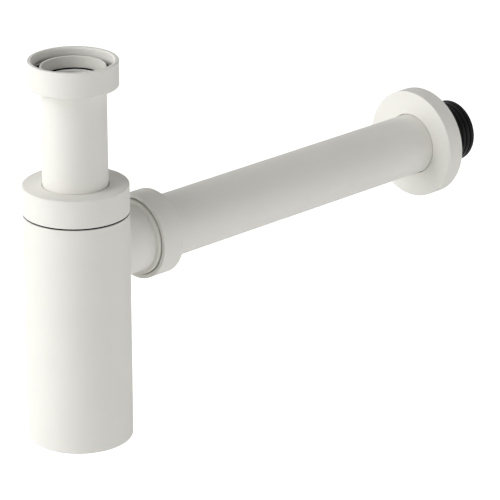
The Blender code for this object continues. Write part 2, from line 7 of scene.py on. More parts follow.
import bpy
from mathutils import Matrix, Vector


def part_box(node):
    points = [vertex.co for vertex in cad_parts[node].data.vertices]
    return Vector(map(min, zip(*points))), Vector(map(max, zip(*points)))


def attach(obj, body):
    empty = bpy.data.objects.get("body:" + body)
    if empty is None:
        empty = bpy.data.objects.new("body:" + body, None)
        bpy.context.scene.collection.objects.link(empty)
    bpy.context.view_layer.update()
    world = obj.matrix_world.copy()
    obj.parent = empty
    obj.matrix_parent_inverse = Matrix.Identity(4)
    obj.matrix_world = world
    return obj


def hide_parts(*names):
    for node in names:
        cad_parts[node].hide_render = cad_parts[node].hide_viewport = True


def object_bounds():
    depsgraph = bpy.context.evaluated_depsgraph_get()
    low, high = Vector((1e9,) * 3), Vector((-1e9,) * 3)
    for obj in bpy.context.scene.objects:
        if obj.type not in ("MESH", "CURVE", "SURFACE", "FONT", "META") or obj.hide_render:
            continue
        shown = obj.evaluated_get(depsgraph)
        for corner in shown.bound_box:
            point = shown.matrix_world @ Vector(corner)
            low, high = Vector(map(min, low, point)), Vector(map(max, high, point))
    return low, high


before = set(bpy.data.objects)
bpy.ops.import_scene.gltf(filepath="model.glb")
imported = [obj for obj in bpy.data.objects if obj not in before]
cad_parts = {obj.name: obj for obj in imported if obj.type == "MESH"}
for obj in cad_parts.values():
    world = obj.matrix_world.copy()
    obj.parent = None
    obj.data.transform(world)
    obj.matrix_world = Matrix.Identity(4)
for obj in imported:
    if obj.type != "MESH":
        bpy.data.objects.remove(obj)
CAD_BOX = [list(corner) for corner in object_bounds()]

import logging
import math
from abc import ABC, abstractmethod
from collections.abc import Callable
from dataclasses import dataclass
from enum import Enum

import bmesh
import bpy
from mathutils import Matrix, Vector

LOG = logging.getLogger("bottle_trap")

MM = 0.001

Point = tuple[float, float]
Corner = tuple[float, ...]
Section = list[Point]
Triple = tuple[float, float, float]
Colour = Triple
Socket = bpy.types.NodeSocket
Piece = bpy.types.Object

# Facets in a full turn
FACETS = 192

# Steps of a rounded corner, distance of a holding point from it, reach within which points merge
ARC_STEPS = 6
HOLD = 0.12
MERGE = 0.002
SHARP_ANGLE = math.radians(40)

# Gap beside what slides or turns, radius of both tubes, inner radius of the bottle
CLEAR = 0.3
TUBE = 16.0
BOTTLE_BORE = 24.63

# Seam under the collar: its height, the lip on both sides of it, the rebate behind the lip
SEAM = 0.56
LIP = 0.83
REBATE = 0.62

# Roundings of edges, from a turned edge to a moulded one
HAIR = 0.08
KEEN = 0.1
CRISP = 0.12
TRIM = 0.15
EASED = 0.2
BROKEN = 0.25
SOFT = 0.3
BLUNT = 0.4
ROUND = 0.5
FULL = 0.6
HOLLOW = 0.8

# Distance of a thread from what bounds it, rows of points in its turn, its run-out as a share of
# the pitch, steepness of its flanks
THREAD_GAP = 0.5
THREAD_ROWS = 16
RUN_OUT = 0.5
FLANK = 0.75

# Threads: pipe thread of 11 turns to the inch, and the fine metric one
PIPE_PITCH = 2.309
FINE_PITCH = 1.5

WHITE = (1.0, 1.0, 1.0, 1.0)

# Values that a noise mostly stays between
NOISE_LOW = 0.3
NOISE_HIGH = 0.7

# Sockets of a colour mix, whose names repeat
MIX_FACTOR = 0
MIX_DARK = 6
MIX_LIGHT = 7
MIX_RESULT = 2


@dataclass(frozen=True)
class Envelope:
    """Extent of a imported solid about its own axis, in millimetres.

    Attributes:
        low: lowest place along the axis.
        high: highest place along the axis.
        radius: outer radius.
    """

    low: float
    high: float
    radius: float


class Axis(Enum):
    """An axis that pieces are turned about; the value is its world direction and one across it."""

    INLET = (2, 0)
    OUTLET = (0, 1)

    def placing(self) -> Matrix:
        """World placing of a piece whose own Z runs along the axis."""
        if self is Axis.INLET:
            return Matrix.Identity(4)
        low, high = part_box("wall_pipe")
        height = Matrix.Translation((0.0, 0.0, (low.z + high.z) / 2))
        return height @ Matrix.Rotation(math.tau / 4, 4, "Y")

    def envelope(self, node: str) -> Envelope:
        """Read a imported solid's extent.

        Args:
            node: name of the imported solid.

        Returns:
            Its extent along and across this axis.
        """
        along, across = self.value
        low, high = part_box(node)
        return Envelope(low[along] / MM, high[along] / MM, high[across] / MM)

    def turn(self, name: str, shape: Section | Callable[[float], Section]) -> Piece:
        """Turn a section about the axis into a closed piece.

        Args:
            name: name of the piece.
            shape: its section, or a function that gives the section at an angle.

        Returns:
            The piece, placed on the axis.
        """
        rows = []
        for step in range(FACETS):
            angle = math.tau * step / FACETS
            ring = shape(angle) if callable(shape) else shape
            cos, sin = math.cos(angle), math.sin(angle)
            rows.append([(radius * cos * MM, radius * sin * MM, z * MM) for radius, z in ring])
        piece = stand(name, loft(name, rows, True))
        piece.matrix_world = self.placing()
        return piece


INLET = Axis.INLET
OUTLET = Axis.OUTLET


def arc(before: Corner, corner: Corner, after: Corner) -> Section:
    """Round one corner of a section.

    Args:
        before: the corner before it.
        corner: the corner as radius, height and rounding.
        after: the corner after it.

    Returns:
        Points of the arc that takes the corner's place.
    """
    here = Vector(corner[:2])
    back = Vector(before[:2]) - here
    ahead = Vector(after[:2]) - here
    half = back.angle(ahead) / 2
    reach = min(corner[2] / math.tan(half), back.length / 2, ahead.length / 2)
    radius = reach * math.tan(half)
    middle = (back.normalized() + ahead.normalized()).normalized()
    centre = here + middle * (radius / math.sin(half))
    start = here + back.normalized() * reach - centre
    sweep = start.angle_signed(here + ahead.normalized() * reach - centre)
    points = []
    for step in range(ARC_STEPS + 1):
        turned = start.copy()
        turned.rotate(Matrix.Rotation(-sweep * step / ARC_STEPS, 2))
        points.append(tuple(centre + turned))
    return points


def section(*corners: Corner) -> Section:
    """Turn corners into a section's points, with holding points beside every long run's ends.

    Args:
        corners: each as radius and height, with a rounding where it has one.

    Returns:
        The section's points in order.
    """
    outline: Section = []
    for index, corner in enumerate(corners):
        if len(corner) == 2:
            outline.append(corner)
            continue
        outline += arc(corners[index - 1], corner, corners[(index + 1) % len(corners)])
    held: Section = []
    for index, point in enumerate(outline):
        held.append(point)
        following = outline[(index + 1) % len(outline)]
        run = math.dist(point, following)
        if run < 4 * HOLD:
            continue
        for share in (HOLD / run, 1 - HOLD / run):
            held.append(tuple(a + (b - a) * share for a, b in zip(point, following)))
    return held


def ring_section(
    inner: float, outer: float, low: float, high: float, rounding: float, inside: float = SOFT
) -> Section:
    """Give the section of a plain ring.

    Args:
        inner: inner radius.
        outer: outer radius.
        low: place of its lower face.
        high: place of its upper face.
        rounding: rounding of the outer edges.
        inside: rounding of the inner edges.

    Returns:
        The section's points in order.
    """
    return section(
        (outer, high, rounding),
        (outer, low, rounding),
        (inner, low, inside),
        (inner, high, inside),
    )


@dataclass(frozen=True)
class Thread:
    """A right-handed screw thread, between two places on its axis.

    Attributes:
        crest: radius of the crests, which is also the radius beside the thread.
        root: radius of the roots.
        pitch: travel in a turn.
        start: place where the thread begins.
        end: place where it ends.
    """

    crest: float
    root: float
    pitch: float
    start: float
    end: float

    def points(self, angle: float) -> Section:
        """Cut the thread at one angle.

        Args:
            angle: angle about the axis, in radians.

        Returns:
            The points from the thread's start to its end.
        """
        rows = max(THREAD_ROWS // 2, round(abs(self.end - self.start) / self.pitch * THREAD_ROWS))
        run_out = self.pitch * RUN_OUT
        points = []
        for row in range(rows + 1):
            height = self.start + (self.end - self.start) * row / rows
            phase = math.tau * height / self.pitch - angle
            groove = min(1.0, max(0.0, 0.5 - FLANK * math.cos(phase)))
            edge = min(abs(height - self.start), abs(height - self.end)) / run_out
            depth = groove * min(1.0, edge)
            points.append((self.crest + (self.root - self.crest) * depth, height))
        return points

    def cut_into(self, outline: Section, split: int, rest: int) -> Callable[[float], Section]:
        """Put the thread in a section's gap.

        Args:
            outline: the section.
            split: number of its points before the thread.
            rest: index of its first point after the thread.

        Returns:
            A function that gives the threaded section at an angle.
        """
        return lambda angle: outline[:split] + self.points(angle) + outline[rest:]


def stand(name: str, data: bpy.types.ID) -> Piece:
    """Make an object of a mesh, lamp or camera and put it in the scene."""
    thing = bpy.data.objects.new(name, data)
    bpy.context.scene.collection.objects.link(thing)
    return thing


def loft(name: str, rows: list[list[Triple]], around: bool) -> bpy.types.Mesh:
    """Join closed rows of points into a closed mesh.

    Args:
        name: name of the mesh.
        rows: the rows, in metres.
        around: whether the last row joins the first; the end rows are filled otherwise.

    Returns:
        The mesh.
    """
    count = len(rows[0])
    faces = []
    for row in range(len(rows) if around else len(rows) - 1):
        here = row * count
        there = (row + 1) % len(rows) * count
        for point in range(count):
            beside = (point + 1) % count
            faces.append((here + point, there + point, there + beside, here + beside))
    vertices = [point for row in rows for point in row]
    if not around:
        faces += [range(count), range(len(vertices) - count, len(vertices))]
    mesh = bpy.data.meshes.new(name)
    mesh.from_pydata(vertices, [], faces)
    close_up(mesh)
    return mesh


def close_up(mesh: bpy.types.Mesh) -> None:
    """Merge a mesh's doubled points, face it outwards and mark its real corners sharp."""
    work = bmesh.new()
    work.from_mesh(mesh)
    bmesh.ops.remove_doubles(work, verts=work.verts, dist=MERGE * MM)
    bmesh.ops.recalc_face_normals(work, faces=work.faces)
    work.to_mesh(mesh)
    work.free()
    mesh.shade_smooth()
    mesh.set_sharp_from_angle(angle=SHARP_ANGLE)


def cut_away(piece: Piece, cutter: Piece) -> None:
    """Take the cutter's form out of a piece and remove the cutter."""
    boolean = piece.modifiers.new("cut", "BOOLEAN")
    boolean.operation = "DIFFERENCE"
    boolean.solver = "EXACT"
    boolean.object = cutter
    graph = bpy.context.evaluated_depsgraph_get()
    mesh = bpy.data.meshes.new_from_object(piece.evaluated_get(graph))
    piece.modifiers.clear()
    piece.data = mesh
    mesh.name = piece.name
    close_up(mesh)
    bpy.data.objects.remove(cutter)


def set_sockets(node: bpy.types.Node, **values: float | Corner) -> None:
    """Set a node's sockets, named with underscores for spaces."""
    for name, value in values.items():
        node.inputs[name.replace("_", " ")].default_value = value


@dataclass(frozen=True)
class Grain:
    """A noise whose patches have a real size.

    Attributes:
        size: size of a patch.
        detail: finer layers added to it.
        height: height of its relief.
        stretch: how much finer it is along each of the piece's own axes.
    """

    size: float
    detail: float
    height: float = 0.0
    stretch: Triple = (1.0, 1.0, 1.0)


class Recipe:
    """Node tree of one finish, built up from a few grains and ranges."""

    def __init__(self, name: str) -> None:
        """Start a material of a name."""
        self.material = bpy.data.materials.new(name)
        self.material.use_nodes = True
        self.tree = self.material.node_tree
        self.shader = self.tree.nodes["Principled BSDF"]
        self.place = self.tree.nodes.new("ShaderNodeTexCoord").outputs["Object"]

    def noise(self, grain: Grain) -> Socket:
        """Add a grain's noise and return its value socket."""
        mapping = self.tree.nodes.new("ShaderNodeMapping")
        set_sockets(mapping, Scale=grain.stretch)
        noise = self.tree.nodes.new("ShaderNodeTexNoise")
        set_sockets(noise, Scale=1.0 / (grain.size * MM), Detail=grain.detail)
        self.tree.links.new(self.place, mapping.inputs["Vector"])
        self.tree.links.new(mapping.outputs["Vector"], noise.inputs["Vector"])
        return noise.outputs["Fac"]

    def spread(self, value: Socket, low: float, high: float) -> Socket:
        """Spread a noise over a range.

        Args:
            value: the noise.
            low: what its dark patches become.
            high: what its bright patches become.

        Returns:
            The ranged value's socket.
        """
        node = self.tree.nodes.new("ShaderNodeMapRange")
        set_sockets(node, From_Min=NOISE_LOW, From_Max=NOISE_HIGH, To_Min=low, To_Max=high)
        self.tree.links.new(value, node.inputs["Value"])
        return node.outputs["Result"]

    def colours(self, value: Socket, dark: Colour, light: Colour) -> None:
        """Let a noise run the base colour between two colours."""
        node = self.tree.nodes.new("ShaderNodeMix")
        node.data_type = "RGBA"
        node.inputs[MIX_DARK].default_value = (*dark, 1.0)
        node.inputs[MIX_LIGHT].default_value = (*light, 1.0)
        self.tree.links.new(self.spread(value, 0.0, 1.0), node.inputs[MIX_FACTOR])
        self.tree.links.new(node.outputs[MIX_RESULT], self.shader.inputs["Base Color"])

    def roughness(self, value: Socket, low: float, high: float) -> None:
        """Let a noise run the roughness between two values."""
        self.tree.links.new(self.spread(value, low, high), self.shader.inputs["Roughness"])

    def relief(self, *grains: Grain) -> None:
        """Stack the relief of grains on the surface, the lowest first."""
        below = None
        for grain in grains:
            bump = self.tree.nodes.new("ShaderNodeBump")
            set_sockets(bump, Distance=grain.height * MM)
            self.tree.links.new(self.noise(grain), bump.inputs["Height"])
            if below is not None:
                self.tree.links.new(below, bump.inputs["Normal"])
            below = bump.outputs["Normal"]
        self.tree.links.new(below, self.shader.inputs["Normal"])


@dataclass(frozen=True)
class Finish:
    """A finish that pieces can be given.

    Attributes:
        slot: name of the record's material slot.
        dark: colour of its dark patches.
        light: colour of its bright patches.
        patches: grain that the colour follows.
        rough: range of its roughness.
        relief: grains of its relief, the last of which the roughness follows.
        sockets: settings of the shader's own sockets.
    """

    slot: str
    dark: Colour
    light: Colour
    patches: Grain
    rough: Point
    relief: tuple[Grain, ...]
    sockets: dict[str, float | Triple]

    def material(self) -> bpy.types.Material:
        """Return the finish's material, made at its first use."""
        name = f"{self.slot}_grained"
        known = bpy.data.materials.get(name)
        if known is not None:
            return known
        recipe = Recipe(name)
        recipe.colours(recipe.noise(self.patches), self.dark, self.light)
        recipe.roughness(recipe.noise(self.relief[-1]), *self.rough)
        recipe.relief(*self.relief)
        set_sockets(recipe.shader, **self.sockets)
        return recipe.material


def shaded(colour: Colour, share: float) -> Colour:
    """Give a colour a share of its brightness."""
    return tuple(part * share for part in colour)


def moulded_plastic(slot: str, colour: Colour, depth: float, rough: Point) -> Finish:
    """Describe unpainted plastic that lets a little light in.

    Args:
        slot: name of the record's material slot.
        colour: its colour.
        depth: how far light reaches into it, in millimetres.
        rough: range of its roughness.

    Returns:
        The finish, with streaks where it flowed into the mould.
    """
    flow = Grain(12.0, 2.0, 0.008, (1.0, 1.0, 0.3))
    light = {
        "Subsurface_Weight": 0.25,
        "Subsurface_Radius": (1.0, 0.85, 0.65),
        "Subsurface_Scale": depth * MM,
    }
    relief = (flow, Grain(0.8, 3.0, 0.004))
    return Finish(slot, shaded(colour, 0.96), colour, flow, rough, relief, light)


# Matt powder coat: its colour hardly wanders, its fused grains lie on a faint orange peel
COAT_WHITE = (0.80, 0.789, 0.743)
COAT = Finish(
    slot="powder_coat_white",
    dark=shaded(COAT_WHITE, 0.988),
    light=shaded(COAT_WHITE, 1.012),
    patches=Grain(26.0, 3.0),
    rough=(0.58, 0.68),
    relief=(Grain(1.7, 1.0, 0.010), Grain(0.32, 2.0, 0.003)),
    sockets={"Specular_IOR_Level": 0.05},
)
# Bare brass with the fine rings that the tool leaves
BRASS_YELLOW = (0.72, 0.59, 0.36)
BRASS = Finish(
    slot="turned_brass",
    dark=shaded(BRASS_YELLOW, 0.86),
    light=BRASS_YELLOW,
    patches=Grain(9.0, 4.0),
    rough=(0.22, 0.38),
    relief=(Grain(20.0, 2.0, 0.012, (1.0, 1.0, 160.0)),),
    sockets={"Metallic": 1.0},
)
# Black moulded rubber with a little bloom on it
RUBBER = Finish(
    slot="black_rubber",
    dark=(0.003, 0.003, 0.0032),
    light=(0.005, 0.005, 0.0053),
    patches=Grain(7.0, 5.0),
    rough=(0.28, 0.36),
    relief=(Grain(0.6, 3.0, 0.006),),
    sockets={"Specular_IOR_Level": 0.05},
)
NYLON = moulded_plastic("natural_nylon", (0.78, 0.75, 0.66), 1.6, (0.33, 0.45))
PLASTIC = moulded_plastic("white_polypropylene", (0.78, 0.78, 0.75), 0.8, (0.29, 0.41))


def dress(piece: Piece, finish: Finish, body: str, *nodes: str) -> None:
    """Give a piece its finish, its body and the solids that it stands for.

    Args:
        piece: the piece.
        finish: its finish.
        body: the body that it rides on.
        nodes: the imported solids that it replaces.
    """
    piece.data.materials.clear()
    piece.data.materials.append(finish.material())
    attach(piece, body)
    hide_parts(*nodes)
    LOG.info("%s: %d faces, rides on %s", piece.name, len(piece.data.polygons), body)


class SubAssembly(ABC):
    """Pieces that are made together."""

    @abstractmethod
    def build(self) -> None:
        """Make and dress the pieces."""


@dataclass
class InletUnion(SubAssembly):
    """Union nut at the basin waste, and the gasket in it.

    Attributes:
        bore: radius of the nut's bore, at the thread's crests.
        root: radius of the thread's roots.
        lead: width of the whole lead-in at the mouth.
        lead_depth: depth of its steep part.
        throat: width of the gentle part below it.
        throat_depth: depth where the lead-in ends.
        floor: thickness of the nut's floor.
        inset: distance of the thread from the floor.
    """

    bore: float = 19.4
    root: float = 20.5
    lead: float = 0.85
    lead_depth: float = 0.95
    throat: float = 0.15
    throat_depth: float = 3.6
    floor: float = 3.2
    inset: float = 0.7

    def build(self) -> None:
        """Make and dress the nut and its gasket."""
        dress(self.nut(), COAT, "union_nut", "inlet_nut")
        dress(self.gasket(), RUBBER, "inlet_union", "inlet_gasket")

    def nut(self) -> Piece:
        """Turn the union nut, its thread deep in the bore."""
        size = INLET.envelope("inlet_nut")
        hole = TUBE + CLEAR
        floor = size.low + self.floor
        outside = section(
            (self.bore + self.lead, size.high, CRISP),
            (size.radius, size.high, ROUND),
            (size.radius, size.low, ROUND),
            (hole + BROKEN, size.low, HAIR),
            (hole, size.low + BROKEN, HAIR),
            (hole, floor, TRIM),
            (self.bore, floor),
            (self.bore, size.high - self.throat_depth, SOFT),
            (self.bore + self.throat, size.high - self.lead_depth, ROUND),
        )
        split = outside.index((self.bore, floor)) + 1
        top = size.high - self.throat_depth - THREAD_GAP
        thread = Thread(self.bore, self.root, PIPE_PITCH, floor + self.inset, top)
        return INLET.turn("inlet_nut_threaded", thread.cut_into(outside, split, split + 1))

    def gasket(self) -> Piece:
        """Turn the gasket that the waste's tail lands on."""
        size = INLET.envelope("inlet_gasket")
        ring = ring_section(TUBE + CLEAR, size.radius, size.low, size.high, SOFT)
        return INLET.turn("inlet_gasket_moulded", ring)


@dataclass
class InletTubes(SubAssembly):
    """Inlet tube, the dip tube in it and the ring between them.

    Attributes:
        wall: wall of the inlet tube.
        rim: rounding of its rim.
        dip_wall: wall of the dip tube.
        head: thickness of the dip tube's head.
        head_width: width of the ledge that the head makes in the bore.
        step: width of the step round the head, where the ring lies.
        step_depth: its depth.
        sink: how far the ring's top stays below its packed height.
    """

    wall: float = 1.0
    rim: float = 0.28
    dip_wall: float = 1.2
    head: float = 3.2
    head_width: float = 3.9
    step: float = 1.1
    step_depth: float = 1.6
    sink: float = 0.12

    def build(self) -> None:
        """Make and dress both tubes and the ring."""
        size = INLET.envelope("inlet_tube")
        bore = size.radius - self.wall
        tube = ring_section(bore, size.radius, size.low, size.high, self.rim, self.rim)
        dress(INLET.turn("inlet_tube_drawn", tube), COAT, "inlet", "inlet_tube")
        size = INLET.envelope("dip_tube")
        bore = size.radius - self.dip_wall
        head_bore = size.radius - self.head_width
        head_low = size.high - self.head
        step = size.radius - self.step
        dip = section(
            (step, size.high, CRISP),
            (step, size.high - self.step_depth, KEEN),
            (size.radius, size.high - self.step_depth, TRIM),
            (size.radius, size.low + ROUND, EASED),
            (size.radius - ROUND, size.low, EASED),
            (bore, size.low, EASED),
            (bore, head_low, ROUND),
            (head_bore, head_low, EASED),
            (head_bore, size.high, SOFT),
        )
        dress(INLET.turn("dip_tube_moulded", dip), PLASTIC, "inlet", "dip_tube")
        size = INLET.envelope("dip_tube_ring")
        ring = ring_section(step + CLEAR, size.radius, size.low, size.high - self.sink, SOFT)
        dress(INLET.turn("dip_tube_ring_moulded", ring), RUBBER, "inlet", "dip_tube_ring")


@dataclass
class Collar(SubAssembly):
    """Collar that presses the seal on the inlet tube, and the washer in the seam.

    Attributes:
        roof: thickness of the roof.
        edge: rounding of the top edge.
        thread: radius of the thread's crests.
        root: radius of its roots.
        relief: how far the coat stops short of the seam.
        bead_depth: how far the washer's bead stays behind the collar's side.
        end: distance of the thread from the roof.
    """

    roof: float = 3.0
    edge: float = 0.7
    thread: float = 23.9
    root: float = 24.7
    relief: float = 0.19
    bead_depth: float = 0.3
    end: float = 0.8

    def build(self) -> None:
        """Make and dress the collar and the washer."""
        dress(self.cap(), COAT, "collar", "collar_nut")
        dress(self.washer(), RUBBER, "bottle", "collar_washer")

    def cap(self) -> Piece:
        """Turn the collar with its inside thread."""
        size = INLET.envelope("collar_nut")
        hole = TUBE + CLEAR
        roof = size.high - self.roof
        lip = size.radius - LIP
        rebate = size.low + REBATE
        outside = section(
            (hole, size.high - EASED),
            (hole + EASED, size.high, KEEN),
            (size.radius, size.high, self.edge),
            (size.radius, size.low + self.relief, CRISP),
            (lip, size.low + self.relief, HAIR),
            (lip, rebate),
            (self.thread, rebate),
            (self.thread, roof),
            (hole, roof, TRIM),
        )
        split = outside.index((self.thread, rebate)) + 1
        rest = outside.index((self.thread, roof))
        start = rebate + THREAD_GAP
        thread = Thread(self.thread, self.root, PIPE_PITCH, start, roof - self.end)
        return INLET.turn("collar_nut_threaded", thread.cut_into(outside, split, rest))

    def washer(self) -> Piece:
        """Turn the washer, whose bead shows as the dark seam."""
        size = INLET.envelope("collar_washer")
        collar = INLET.envelope("collar_nut")
        bead = collar.radius - self.bead_depth
        outline = section(
            (size.radius, size.high, BROKEN),
            (size.radius, collar.low),
            (bead, collar.low, CRISP),
            (bead, collar.low - SEAM, CRISP),
            (size.radius, collar.low - SEAM),
            (size.radius, size.low, BROKEN),
            (self.thread, size.low, BROKEN),
            (self.thread, size.high, BROKEN),
        )
        return INLET.turn("collar_washer_moulded", outline)


@dataclass
class Bottle(SubAssembly):
    """Bottle body and the threaded neck brazed into it.

    Attributes:
        floor: thickness of the base.
        edge: rounding of the base's edge.
        corner: rounding inside, where the wall meets the base.
        head_bore: radius of the recess for the plug's head.
        seat: height of the plug's seat above the base.
        thread_bore: radius of the plug's tapped hole.
        boss: outer radius of the boss.
        boss_height: height of the boss above the base.
        relief: how far the coat stops short of the seam.
        outlet: radius of the outlet's hole.
        outlet_rings: number of steps in the rings of points round it.
        outlet_margin: how far they go beyond it.
        cutter: places between which its cutter reaches.
        neck_bore: radius of the neck's mouth.
        neck_thread: radius of the crests of the neck's thread.
        neck_root: radius of its roots.
        neck_inner: radius of the neck's lower bore.
        guide: radius of the tube's guide in it.
        guide_low: height of the guide's underside.
        guide_high: height where the seal's seat begins.
        thread_start: distance of the neck's thread from its top.
        thread_end: distance of the neck's thread from its shoulder.
    """

    floor: float = 3.0
    edge: float = 1.0
    corner: float = 1.5
    head_bore: float = 18.4
    seat: float = 4.6
    thread_bore: float = 15.0
    boss: float = 20.5
    boss_height: float = 10.5
    relief: float = 0.1
    outlet: float = 15.0
    outlet_rings: int = 36
    outlet_margin: float = 3.0
    cutter: Point = (10.0, 40.0)
    neck_bore: float = 20.4
    neck_thread: float = 23.6
    neck_root: float = 22.75
    neck_inner: float = 22.6
    guide: float = 16.5
    guide_low: float = -79.87
    guide_high: float = -75.17
    thread_start: float = 0.8
    thread_end: float = 1.4

    def build(self) -> None:
        """Make and dress the bottle and its neck."""
        dress(self.body(), COAT, "bottle", "bottle_body")
        dress(self.neck(), BRASS, "bottle", "threaded_neck")

    def body(self) -> Piece:
        """Turn the bottle and cut the outlet's hole."""
        size = INLET.envelope("bottle_body")
        lip = size.radius - LIP
        shoulder = size.high - REBATE
        seat = size.low + self.seat
        boss_top = size.low + self.boss_height
        outline = section(
            (lip, size.high - self.relief, HAIR),
            (size.radius, size.high - self.relief, CRISP),
            (size.radius, size.low, self.edge),
            (self.head_bore, size.low, EASED),
            (self.head_bore, seat),
            (self.thread_bore, seat),
            (self.thread_bore, boss_top, SOFT),
            (self.boss, boss_top, SOFT),
            (self.boss, size.low + self.floor, HOLLOW),
            (BOTTLE_BORE, size.low + self.floor, self.corner),
            (BOTTLE_BORE, shoulder),
            (lip, shoulder),
        )
        body = INLET.turn("bottle_body_spun", self.with_rings(outline))
        near, far = self.cutter
        hole = section((0.0, far), (self.outlet, far), (self.outlet, near), (0.0, near))
        cut_away(body, OUTLET.turn("outlet_hole", hole))
        return body

    def with_rings(self, outline: Section) -> Section:
        """Add rings of points to the wall round the outlet, so that its hole is cut cleanly.

        Args:
            outline: the bottle's section.

        Returns:
            The section with its rings.
        """
        centre = OUTLET.placing().translation.z / MM
        reach = self.outlet + self.outlet_margin
        steps = self.outlet_rings
        ringed: Section = []
        for index, point in enumerate(outline):
            ringed.append(point)
            following = outline[(index + 1) % len(outline)]
            if abs(point[1] - following[1]) < 2 * reach:
                continue
            heights = [centre - reach + 2 * reach * step / steps for step in range(steps + 1)]
            if following[1] < point[1]:
                heights.reverse()
            ringed += [(point[0], height) for height in heights]
        return ringed

    def neck(self) -> Piece:
        """Turn the neck with the collar's thread and the seal's seat."""
        size = INLET.envelope("threaded_neck")
        collar = INLET.envelope("collar_nut")
        shoulder = collar.low - SEAM - REBATE
        start = size.high - self.thread_start
        outline = section(
            (self.neck_bore, size.high, TRIM),
            (self.neck_thread, size.high, BLUNT),
            (self.neck_thread, shoulder),
            (size.radius, shoulder),
            (size.radius, size.low),
            (self.neck_inner, size.low, EASED),
            (self.neck_inner, self.guide_low),
            (self.guide, self.guide_low, EASED),
            (self.guide, self.guide_high),
        )
        rest = outline.index((self.neck_thread, shoulder))
        split = sum(point[1] > start for point in outline[:rest])
        end = shoulder + self.thread_end
        thread = Thread(self.neck_thread, self.neck_root, PIPE_PITCH, start, end)
        return INLET.turn("threaded_neck_turned", thread.cut_into(outline, split, rest))


@dataclass
class BasePlug(SubAssembly):
    """Cleaning plug in the bottle's base, and its ring.

    Attributes:
        thread: radius of the thread's crests.
        root: radius of its roots.
        head: thickness of the head.
        shank: wall of the hollow shank.
        crown: height of the hollow above the base.
        face_edge: rounding of the face's edge.
        undercut: length of the plain part under the head.
        slot_length: length of the coin slot.
        slot_width: its width.
        slot_depth: its depth.
        slot_steps: points round the slot.
        overshoot: how far its cutter stands out of the face.
        ring_sides: points round the section of the ring.
    """

    thread: float = 14.7
    root: float = 13.95
    head: float = 2.5
    shank: float = 3.5
    crown: float = 6.0
    face_edge: float = 0.35
    undercut: float = 1.9
    slot_length: float = 24.0
    slot_width: float = 3.2
    slot_depth: float = 1.5
    slot_steps: int = 24
    overshoot: float = 1.0
    ring_sides: int = 20

    def build(self) -> None:
        """Make and dress the plug and its ring."""
        dress(self.plug(), COAT, "plug", "base_plug")
        dress(self.ring(), RUBBER, "plug_carrier", "base_plug_oring")

    def plug(self) -> Piece:
        """Turn the plug and mill its coin slot."""
        size = INLET.envelope("base_plug")
        head_top = size.low + self.head
        thread_end = head_top + self.undercut
        hollow = self.thread - self.shank
        outline = section(
            (0.0, size.low + self.crown),
            (hollow, size.low + self.crown, ROUND),
            (hollow, size.high, SOFT),
            (self.thread, size.high),
            (self.thread, thread_end),
            (self.thread, head_top),
            (size.radius, head_top, EASED),
            (size.radius, size.low, self.face_edge),
            (0.0, size.low),
        )
        split = outline.index((self.thread, size.high)) + 1
        rest = outline.index((self.thread, thread_end))
        start = size.high - KEEN
        thread = Thread(self.thread, self.root, FINE_PITCH, start, thread_end + KEEN / 2)
        piece = INLET.turn("base_plug_turned", thread.cut_into(outline, split, rest))
        cut_away(piece, self.slot_cutter(size.low))
        return piece

    def slot_cutter(self, face: float) -> Piece:
        """Make the cutter of the coin slot.

        Args:
            face: height of the plug's face.

        Returns:
            A bar with rounded ends that widens where it leaves the face.
        """
        layers = [(0.0, self.slot_depth), (0.0, BROKEN), (BROKEN, 0.0), (BROKEN, -self.overshoot)]
        steps = self.slot_steps
        half = (self.slot_length - self.slot_width) / 2
        rows = []
        for wider, height in layers:
            radius = (self.slot_width / 2 + wider) * MM
            row = []
            for step in range(steps):
                angle = math.tau * (step + 0.5) / steps
                shift = math.copysign(half * MM, math.cos(angle))
                x, y = shift + radius * math.cos(angle), radius * math.sin(angle)
                row.append((x, y, (face + height) * MM))
            rows.append(row)
        return stand("coin_slot", loft("coin_slot", rows, False))

    def ring(self) -> Piece:
        """Turn the round ring under the plug's head."""
        size = INLET.envelope("base_plug_oring")
        half = (size.high - size.low) / 2
        middle = (size.high + size.low) / 2
        circle = []
        for side in range(self.ring_sides):
            angle = math.tau * side / self.ring_sides
            radius = size.radius - half + half * math.cos(angle)
            circle.append((radius, middle + half * math.sin(angle)))
        return INLET.turn("base_plug_oring_moulded", circle)


